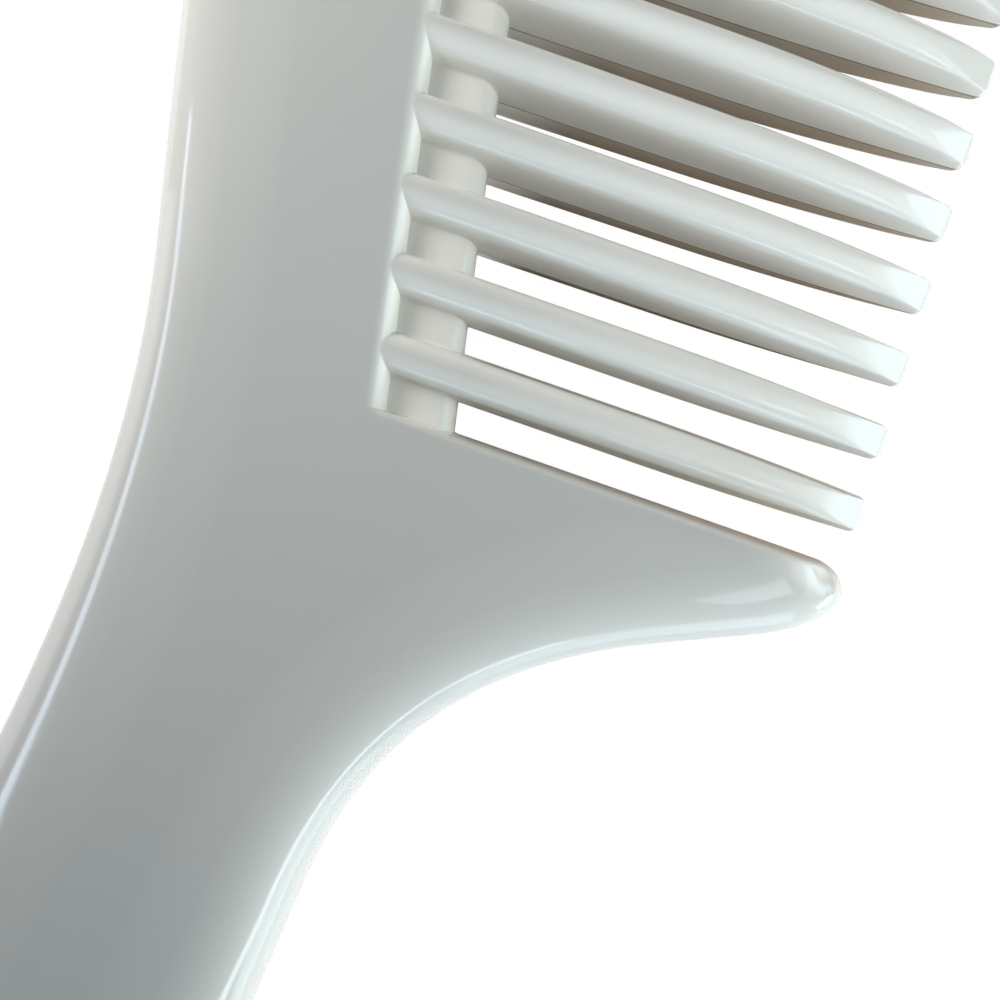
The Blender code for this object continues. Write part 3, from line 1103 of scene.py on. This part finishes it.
@dataclass
class Teeth:
    """The free part of each tooth, modelled once and drawn out to fourteen lengths."""

    plan: Plan = field(default_factory=Plan)
    crown: Crown = field(default_factory=Crown)
    stations: tuple[float, ...] = (
        0.006, 0.014, 0.024, 0.036, 0.05, 0.07, 0.1, 0.15, 0.22, 0.3, 0.38, 0.43, 0.48,
        0.53, 0.58, 0.63, 0.68, 0.72, 0.76,
    )
    flat_steps: int = 26
    dome_steps: int = 10
    dome_turn: float = math.radians(65.0)
    # Length that the rounded end takes up, in tip roundings
    dome_room: float = 1.2

    def length(self, index: int) -> float:
        """Length of a tooth from its joint to its end."""
        row = self.plan.row
        return row.cut(index) - row.end(index)

    def pattern(self, length: float) -> Object:
        """Models one tooth, its end at the origin and its joint at +Y.

        Args:
            length: From the joint to the end.

        Returns:
            The tooth.
        """
        row = self.plan.row
        quarter = row.section(self.crown.half_thickness)
        half = quarter + [(-across, up) for across, up in quarter[-2::-1]]
        ring = half + [(across, -up) for across, up in half[-2:0:-1]]
        height, half_width = row.root_height(self.crown.half_thickness), row.width / 2
        deselect()
        bpy.ops.mesh.primitive_circle_add(vertices=len(ring), radius=half_width, fill_type="NGON")
        tooth = bpy.context.active_object
        bpy.ops.object.mode_set(mode="EDIT")
        form = bmesh.from_edit_mesh(tooth.data)
        for vert, (across, up) in zip(form.verts, ring):
            vert.co = (across, length, up)
        bmesh.update_edit_mesh(tooth.data)
        bpy.ops.mesh.select_all(action="SELECT")
        rounding = row.tip_rounding
        shares = list(self.stations)
        rest = 1 - shares[-1]
        shares += [1 - rest * (1 - step / self.flat_steps) for step in range(1, self.flat_steps)]
        room = self.dome_room * rounding
        shares = [share for share in shares if (1 - share) * length > room]
        steps = [(share * length, *row.size(share)) for share in shares]
        for step in range(self.dome_steps + 1):
            turn = self.dome_turn * step / self.dome_steps
            run = length - rounding * (1 - math.sin(turn))
            wide, high = row.size(run / length)
            inset = rounding * (1 - math.cos(turn))
            steps.append((run, wide - inset / half_width, high - inset / height))
        done = (0.0, 1.0, 1.0)
        for run, wide, high in steps:
            onward, scale = (0.0, done[0] - run, 0.0), (wide / done[1], 1.0, high / done[2])
            bpy.ops.mesh.extrude_region_move(TRANSFORM_OT_translate={"value": onward})
            bpy.ops.transform.resize(value=scale, center_override=(0.0, length - run, 0.0))
            done = (run, wide, high)
        bpy.ops.mesh.poke()
        face_outward()
        self.thin(bmesh.from_edit_mesh(tooth.data), length)
        bmesh.update_edit_mesh(tooth.data)
        close_edit()
        return tooth

    def thin(self, form: bmesh.types.BMesh, length: float) -> None:
        """Brings the dome near the end down to a flat on both faces, over a soft edge.

        Args:
            form: The tooth, its end at the origin.
            length: The tooth's length.
        """
        row = self.plan.row
        for vert in form.verts:
            height = abs(vert.co.z)
            if height > LEVEL and vert.co.y < 2 * row.flat_run:
                flat = row.flat(max(vert.co.y, 0.0), length, self.crown.half_thickness)
                vert.co.z = math.copysign(soft_least(height, flat, row.flat_power), vert.co.z)

    def build(self) -> dict[str, Object]:
        """Copies the pattern to each place and stretches its shank.

        Returns:
            The teeth by name.
        """
        row = self.plan.row
        longest = max(self.length(index) for index in range(row.count))
        pattern = self.pattern(longest)
        teeth = {}
        for index in range(row.count):
            node = f"tooth_{index + 1:02d}"
            tooth = copy_object(pattern, f"moulded_{node}")
            stretch = (self.length(index) - row.tip_rounding) / (longest - row.tip_rounding)
            pivot = (0.0, row.tip_rounding, 0.0)
            edit(tooth, "DESELECT")
            form = bmesh.from_edit_mesh(tooth.data)
            for vert in form.verts:
                vert.select_set(vert.co.y > row.tip_rounding)
            form.select_flush_mode()
            bmesh.update_edit_mesh(tooth.data)
            bpy.ops.transform.resize(value=(1.0, stretch, 1.0), center_override=pivot)
            bpy.ops.mesh.select_all(action="SELECT")
            place = Vector((row.centre(index), row.end(index), 0.0))
            bpy.ops.transform.translate(value=place)
            for vert in form.verts:
                vert.co.x = row.leaned(vert.co.x, vert.co.y)
            bmesh.update_edit_mesh(tooth.data)
            close_edit()
            bpy.ops.object.shade_smooth_by_angle(angle=SMOOTH)
            teeth[node] = tooth
        bpy.data.objects.remove(pattern)
        return teeth


# The plastic

Triple = tuple[float, float, float]
Colour = Union["Value", Triple]

# The Mix node's sockets for colours: the factor and the two ends, and what comes out
MIX_COLOURS = (0, 6, 7)
MIXED_COLOUR = 2


class Value:
    """A shader socket that can be used in sums."""

    def __init__(self, graph: "Graph", socket: bpy.types.NodeSocket) -> None:
        """Keeps the socket and the graph that it is in."""
        self.graph = graph
        self.socket = socket

    def maths(self, operation: str, first: "Value | float", second: "Value | float") -> "Value":
        """What a Math node makes of two numbers."""
        return self.graph.node("ShaderNodeMath", {"operation": operation}, {0: first, 1: second})

    def __add__(self, other: "Value | float") -> "Value":
        """The sum."""
        return self.maths("ADD", self, other)

    __radd__ = __add__

    def __sub__(self, other: "Value | float") -> "Value":
        """The difference."""
        return self.maths("SUBTRACT", self, other)

    def __rsub__(self, other: "Value | float") -> "Value":
        """The difference the other way round."""
        return self.maths("SUBTRACT", other, self)

    def __mul__(self, other: "Value | float") -> "Value":
        """The product."""
        return self.maths("MULTIPLY", self, other)

    __rmul__ = __mul__

    def size(self) -> "Value":
        """The value without its sign."""
        return self.maths("ABSOLUTE", self, 0.0)

    def root(self) -> "Value":
        """The square root."""
        return self.maths("SQRT", self, 0.0)

    def at_most(self, other: "Value | float") -> "Value":
        """The lower of the two."""
        return self.maths("MINIMUM", self, other)

    def at_least(self, other: "Value | float") -> "Value":
        """The higher of the two."""
        return self.maths("MAXIMUM", self, other)

    def held(self) -> "Value":
        """The value, held between 0 and 1."""
        return self.at_least(0.0).at_most(1.0)


class Graph:
    """The nodes of one material or world."""

    def __init__(self, tree: bpy.types.NodeTree) -> None:
        """Empties the tree."""
        self.tree = tree
        tree.nodes.clear()

    def node(self, kind: str, settings: dict, inputs: dict, output: str | int = 0) -> Value:
        """Adds one node.

        Args:
            kind: Its type.
            settings: Its properties.
            inputs: A number, colour or Value for each socket, by name or place.
            output: Which output is wanted.

        Returns:
            That output.
        """
        node = self.tree.nodes.new(kind)
        for name, value in settings.items():
            setattr(node, name, value)
        for name, value in inputs.items():
            if isinstance(value, Value):
                self.tree.links.new(value.socket, node.inputs[name])
            else:
                node.inputs[name].default_value = value
        return Value(self, node.outputs[output])

    def close(self, kind: str, shader: Value) -> None:
        """Links a shader to the output of a material or a world."""
        output = self.tree.nodes.new(kind)
        self.tree.links.new(shader.socket, output.inputs["Surface"])

    def vector(self, operation: str, first: Value, second: Triple = (0.0, 0.0, 0.0)) -> Value:
        """What a Vector Math node makes of one or two vectors: LENGTH gives a number."""
        settings, output = {"operation": operation}, "Value" if operation == "LENGTH" else "Vector"
        return self.node("ShaderNodeVectorMath", settings, {0: first, 1: second}, output)

    def noise(self, place: Value, scale: float, detail: float) -> Value:
        """Smooth noise from 0 to 1, with its patches to the metre and its octaves."""
        inputs = {"Vector": place, "Scale": scale, "Detail": detail}
        return self.node("ShaderNodeTexNoise", {}, inputs, "Fac")

    def blend(self, factor: Value, first: Colour, second: Colour) -> Value:
        """A colour between two.

        Args:
            factor: Share of the second.
            first: A colour or a socket with one.
            second: Another.

        Returns:
            The mixed colour.
        """
        ends = [end if isinstance(end, Value) else (*end, 1.0) for end in (first, second)]
        sockets = dict(zip(MIX_COLOURS, [factor] + ends))
        return self.node("ShaderNodeMix", {"data_type": "RGBA"}, sockets, MIXED_COLOUR)

    def mix(self, factor: Value, first: Value, second: Value) -> Value:
        """A shader between two, where the factor is the share of the second."""
        return self.node("ShaderNodeMixShader", {}, {0: factor, 1: first, 2: second})


@dataclass(frozen=True)
class Ivory:
    """Glossy moulded plastic the colour of ivory.

    It is painted lighter where it is thin and near its edges: a painted glow in place of light that
    enters the plastic. It is faintly cloudy, it has the ripple of a polished mould, and a dark line
    is painted round it where the mould's halves meet, as painted shade of the parting crease.

    Attributes:
        name: Its name.
        thick: Its colour in the thickest part.
        thin: Its colour in thin parts and near the edge, lighter than the thick colour as a painted
            glow in place of light that enters the plastic.
        clearing: How fast the painted glow turns from one colour to the other with the root of the
            missing thickness.
        cloud: How much the clouds change it.
        clouds: The clouds' patches to the metre, and their octaves.
        line: Colour of the dark line painted where the mould's halves meet: painted shade of the
            parting crease.
        line_width: Half the width of that line.
        middle: Height of the parting plane over the table.
        half_thickness: Half the comb's thickness.
        roughness: Its lowest roughness.
        smear: What smears add to it.
        smears: The smears' patches to the metre, and their octaves.
        smear_gain: How sharply the smears stand out.
        smear_start: What is taken off them, so that bare patches are left.
        ripple: Depth of the ripple.
        ripples: The ripple's patches to the metre, and its octaves.
        index: How strongly it bends light.
    """

    name: str = "glossy_ivory"
    thick: Triple = (0.53, 0.525, 0.49)
    thin: Triple = (0.79, 0.765, 0.70)
    clearing: float = 2.4
    cloud: float = 0.08
    clouds: tuple[float, float] = (70.0, 2.0)
    line: Triple = (0.30, 0.27, 0.22)
    line_width: float = 0.03 * MM
    middle: float = 3.1 * MM
    half_thickness: float = 3.1 * MM
    roughness: float = 0.09
    smear: float = 0.05
    smears: tuple[float, float] = (140.0, 4.0)
    smear_gain: float = 2.0
    smear_start: float = 0.8
    ripple: float = 0.004 * MM
    ripples: tuple[float, float] = (260.0, 1.0)
    index: float = 1.5

    def make(self) -> Material:
        """Makes the material.

        Returns:
            The material, ready for a mesh.
        """
        material = bpy.data.materials.new(self.name)
        material.use_nodes = True
        graph = Graph(material.node_tree)
        place = graph.node("ShaderNodeTexCoord", {}, {}, "Object")
        off_plane = (graph.node("ShaderNodeSeparateXYZ", {}, {0: place}, "Z") - self.middle).size()
        # Painted glow: the colour is lighter towards the parting plane, where the comb is thin and
        # near its edges, standing in for light that enters the plastic.
        missing = (1 - off_plane * (1 / self.half_thickness)).at_least(0.0)
        clouds = (graph.noise(place, *self.clouds) - 0.5) * self.cloud
        painted_glow = (missing.root() * self.clearing + clouds).held()
        body = graph.blend(painted_glow, self.thick, self.thin)
        # Painted shade: a dark line along the parting plane, in place of the shade in the mould's
        # parting crease.
        off_parting_shade = (off_plane * (1 / self.line_width) - 1).held()
        smears = (graph.noise(place, *self.smears) * self.smear_gain - self.smear_start).held()
        ripples = graph.noise(place, *self.ripples)
        inputs = {"Height": ripples, "Strength": 1.0, "Distance": self.ripple}
        shader = {
            "Normal": graph.node("ShaderNodeBump", {}, inputs, "Normal"),
            "Base Color": graph.blend(off_parting_shade, self.line, body),
            "Roughness": smears * self.smear + self.roughness,
            "IOR": self.index,
        }
        plastic = graph.node("ShaderNodeBsdfPrincipled", {}, shader, "BSDF")
        graph.close("ShaderNodeOutputMaterial", plastic)
        return material


# Studio


@dataclass(frozen=True)
class Lamp:
    """A soft lamp that points at the heel of the comb.

    Attributes:
        name: Its name.
        azimuth: Its direction round the comb, in degrees from the toe's side.
        elevation: Its height over the table, in degrees.
        distance: How far it hangs, in metres.
        width: Its width.
        height: Its height.
        power: Its power in watts.
        colour: Its colour.
        mirrored: Whether the gloss of the comb shows it.
    """

    name: str
    azimuth: float
    elevation: float
    distance: float
    width: float
    height: float
    power: float
    colour: Triple
    mirrored: bool = True

    def hang(self, target: Vector) -> None:
        """Adds the lamp to the scene.

        Args:
            target: What it points at.
        """
        light = bpy.data.lights.new(self.name, "AREA")
        light.shape = "RECTANGLE"
        light.size = self.width
        light.size_y = self.height
        light.energy = self.power
        light.color = self.colour
        lamp = bpy.data.objects.new(self.name, light)
        bpy.context.scene.collection.objects.link(lamp)
        turn, lift = math.radians(self.azimuth), math.radians(self.elevation)
        level = math.cos(lift)
        away = Vector((level * math.cos(turn), level * math.sin(turn), math.sin(lift)))
        lamp.location = target + self.distance * away
        lamp.rotation_euler = (-away).to_track_quat("-Z", "Y").to_euler()
        lamp.visible_camera = False
        lamp.visible_glossy = self.mirrored


# Elevation, distance, width and height of the lamps that hang in sets
PANEL = (20.0, 0.3, 0.221, 0.073)
STRIP = (11.0, 0.4, 0.206, 0.035)
LOW_STRIP = (5.0, 0.5, 0.261, 0.052)


@dataclass(frozen=True)
class Viewpoint:
    """The camera, close over the heel of the comb as in the photograph.

    Attributes:
        place: Its place in the drawing frame.
        up: The drawing's direction that is upwards in the picture.
        tilt: How far it leans off the plumb line.
        foot: Pixel of the place right under it, counted from the picture's upper left corner.
        pixels: Width and height of the picture.
        lens: Its focal length in millimetres.
        sensor: Width of its sensor in millimetres.
        nearest: The shortest distance that it sees.
    """

    place: Vector = Vector((1.870, -4.410, 33.647)) * MM
    up: tuple[float, float] = (0.943, 0.334)
    tilt: float = math.radians(1.0)
    foot: tuple[int, int] = (525, 429)
    pixels: int = 1000
    lens: float = 18.0
    sensor: float = 36.0
    nearest: float = 1.0 * MM

    def hold(self, drawing: Vector) -> None:
        """Adds the camera to the scene.

        Args:
            drawing: Where the drawing frame's origin is.
        """
        camera = bpy.data.cameras.new("camera")
        camera.sensor_width = self.sensor
        camera.lens = self.lens
        camera.clip_start = self.nearest
        along, across = self.up
        turn = math.atan2(across, along)
        right = Vector((math.sin(turn), -math.cos(turn), 0.0))
        up = Vector((math.cos(turn), math.sin(turn), 0.0))
        turned = Matrix((right, up, Vector((0.0, 0.0, 1.0)))).transposed().to_4x4()
        tilted = Matrix.Rotation(self.tilt, 4, "X")
        holder = bpy.data.objects.new("camera", camera)
        holder.matrix_world = Matrix.Translation(drawing + self.place) @ tilted @ turned
        middle = self.pixels / 2
        drift = middle * math.tan(self.tilt)
        camera.shift_x = (middle - self.foot[0] + along * drift) / self.pixels
        camera.shift_y = (self.foot[1] - across * drift - middle) / self.pixels
        bpy.context.scene.collection.objects.link(holder)
        bpy.context.scene.camera = holder


@dataclass(frozen=True)
class Studio:
    """The white table, the light and the dim room.

    Attributes:
        table: Size of the table.
        shadow: Share of the table's own light in what the camera sees of it.
        table_white: How bright the camera sees the rest.
        table_colour: Its colour in the light it gives back, and in reflections under the teeth.
        mirrored: How bright it is in other reflections.
        under_middle: Middle of the part of it under the teeth.
        under: Half the length and the width of that part.
        fade: How far that part fades out round it.
        room: Colour of the room.
        heel: What the lamps point at.
    """

    table: float = 1.6
    shadow: float = 0.08
    table_white: float = 1.08
    table_colour: Triple = (0.36, 0.225, 0.125)
    mirrored: float = 0.9
    under_middle: tuple[float, float] = (56.5 * MM, -16.5 * MM)
    under: tuple[float, float] = (36.5 * MM, 13.5 * MM)
    fade: float = 6.0 * MM
    room: Triple = (0.02, 0.02, 0.02)
    heel: Vector = Vector((22.0, -7.0, 0.0)) * MM

    def lamps(self) -> list[Lamp]:
        """All the lamps."""
        return [
            Lamp("tip_glow", 289.5, 42.0, 0.085, 0.035, 0.035, 0.0245, (0.95, 0.99, 1.0), False),
            Lamp("tip_window", 289.5, 34.0, 0.13, 0.085, 0.036, 0.0135, (0.84, 0.95, 1.0)),
            Lamp("tip_panel", 289.5, *PANEL, 0.205, (0.60, 0.88, 1.0)),
            Lamp("guard_window", 245.0, 47.0, 0.3, 0.09, 0.047, 0.042, (0.75, 0.92, 1.0)),
            Lamp("tip_low_strip", 259.5, *LOW_STRIP, 1.40, (0.90, 0.93, 0.95)),
            Lamp("corner_glow", 64.5, 34.0, 0.10, 0.065, 0.028, 0.0535, (1.0, 0.97, 0.955), False),
            Lamp("corner_panel", 64.5, *PANEL, 0.03, (0.90, 0.92, 1.0), False),
            Lamp("back_window", 111.0, 30.5, 0.5, 0.62, 0.038, 0.45, (0.70, 0.84, 1.0)),
            Lamp("back_low_window", 107.0, 10.0, 0.5, 0.40, 0.17, 0.23, (0.90, 0.94, 1.0)),
            Lamp("back_strip", 139.5, *STRIP, 0.10, (0.35, 0.70, 1.0), False),
            Lamp("handle_strip", 169.5, *STRIP, 0.13, (0.63, 0.77, 1.0)),
            Lamp("handle_low_strip", 169.5, *LOW_STRIP, 0.34, (0.61, 0.83, 1.0)),
            Lamp("handle_window", 203.0, 23.2, 0.3, 0.09, 0.0236, 0.036, (0.83, 0.96, 1.0)),
            Lamp("front_strip", 199.5, *STRIP, 0.055, (0.42, 0.72, 1.0), False),
            Lamp("neck_window", 222.0, 12.0, 0.4, 0.2, 0.16, 0.25, (0.74, 0.91, 1.0)),
            Lamp("neck_low_strip", 229.5, *LOW_STRIP, 0.32, (0.50, 0.75, 1.0), False),
        ]

    def lay_table(self) -> None:
        """Adds the table: white to the eye and in reflections, and a warm tint under the teeth."""
        deselect()
        bpy.ops.mesh.primitive_plane_add(size=self.table, location=(0.0, 0.0, 0.0))
        table = bpy.context.active_object
        table.name = "table"
        material = bpy.data.materials.new("white_table")
        material.use_nodes = True
        graph = Graph(material.node_tree)
        by_eye, by_gloss, by_glass = [
            graph.node("ShaderNodeLightPath", {}, {}, f"Is {ray} Ray")
            for ray in ("Camera", "Glossy", "Transmission")
        ]
        place = graph.node("ShaderNodeTexCoord", {}, {}, "Object")
        from_middle = graph.vector("SUBTRACT", place, (*self.under_middle, 0.0))
        folded = graph.vector("ABSOLUTE", from_middle)
        beyond = graph.vector("SUBTRACT", folded, (*self.under, 0.0))
        distance = graph.vector("LENGTH", graph.vector("MAXIMUM", beyond))
        open_table = (distance * (1.0 / self.fade)).at_most(1.0)
        lit = graph.node("ShaderNodeBsdfDiffuse", {}, {"Color": (*self.table_colour, 1.0)})
        seen, mirrored = [
            graph.node("ShaderNodeEmission", {}, {"Color": WHITE, "Strength": strength})
            for strength in (self.table_white, self.mirrored)
        ]
        reflected = graph.mix(by_gloss.at_least(by_glass) * open_table, lit, mirrored)
        mixed = graph.mix(by_eye * (1 - self.shadow), reflected, seen)
        graph.close("ShaderNodeOutputMaterial", mixed)
        table.data.materials.append(material)

    def fill_room(self) -> None:
        """Makes the world a dim room that looks white from the camera."""
        world = bpy.data.worlds.new("room")
        bpy.context.scene.world = world
        world.use_nodes = True
        graph = Graph(world.node_tree)
        by_eye = graph.node("ShaderNodeLightPath", {}, {}, "Is Camera Ray")
        room, white = [
            graph.node("ShaderNodeBackground", {}, {"Color": colour, "Strength": 1.0})
            for colour in ((*self.room, 1.0), WHITE)
        ]
        graph.close("ShaderNodeOutputWorld", graph.mix(by_eye, room, white))

    def build(self) -> None:
        """Sets up everything round the comb."""
        self.lay_table()
        self.fill_room()
        for lamp in self.lamps():
            lamp.hang(self.heel)
        bpy.context.scene.view_settings.view_transform = "Standard"


def settle(node: str, piece: Object, offset: Vector, material: Material) -> None:
    """Args:
        node: The CAD node that it stands for.
        piece: The piece in the drawing frame.
        offset: From the drawing frame to the table.
        material: Its finish.
    """
    edit(piece)
    bpy.ops.transform.translate(value=offset)
    close_edit()
    piece.data.materials.clear()
    piece.data.materials.append(material)
    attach(piece, BODY)
    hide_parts(node)
    triangles = sum(len(face.vertices) - 2 for face in piece.data.polygons)
    LOG.info("%s: %d triangles", piece.name, triangles)


def main() -> None:
    """Builds the comb, the table, the light and the camera."""
    logging.basicConfig(level=logging.INFO, format="%(message)s")
    plan = Plan()
    ivory = Ivory().make()
    plate = Plate(plan)
    pieces = plate.divide(plate.build())
    pieces.update(Teeth(plan).build())
    offset = plan.offset()
    for node, piece in pieces.items():
        settle(node, piece, offset, ivory)
    Viewpoint().hold(offset)
    Studio().build()
    deselect()
    bpy.context.view_layer.update()


if __name__ == "__main__":
    main()
